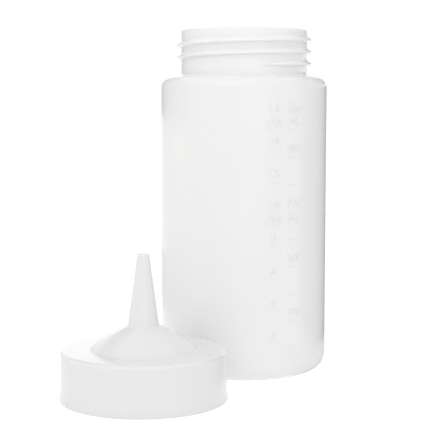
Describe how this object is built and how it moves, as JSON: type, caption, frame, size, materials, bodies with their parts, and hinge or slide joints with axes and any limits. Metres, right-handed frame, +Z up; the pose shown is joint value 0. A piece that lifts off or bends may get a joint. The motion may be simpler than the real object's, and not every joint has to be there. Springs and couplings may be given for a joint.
{
  "type": "squeeze bottle",
  "caption": "Wide-mouth plastic squeeze bottle with a screw neck and a raised measuring scale, and its domed nozzle cap taken off and standing beside it.",
  "frame": {"origin": "middle of the footprint that the bottle and the cap share, on the surface that both stand on", "axes": "+Z up along the bottle's axis; the cap stands in front (-Y) and to the left (-X) of the bottle"},
  "size_m": [0.1128, 0.1384, 0.1541],
  "materials": {
    "bottle_plastic": "milky natural polyethylene, satin",
    "cap_plastic": "milky natural polyethylene, satin, a little denser than the bottle"
  },
  "bodies": {
    "root": {"bottle": "bottle_plastic", "cap": "cap_plastic"}
  },
  "joints": []
}
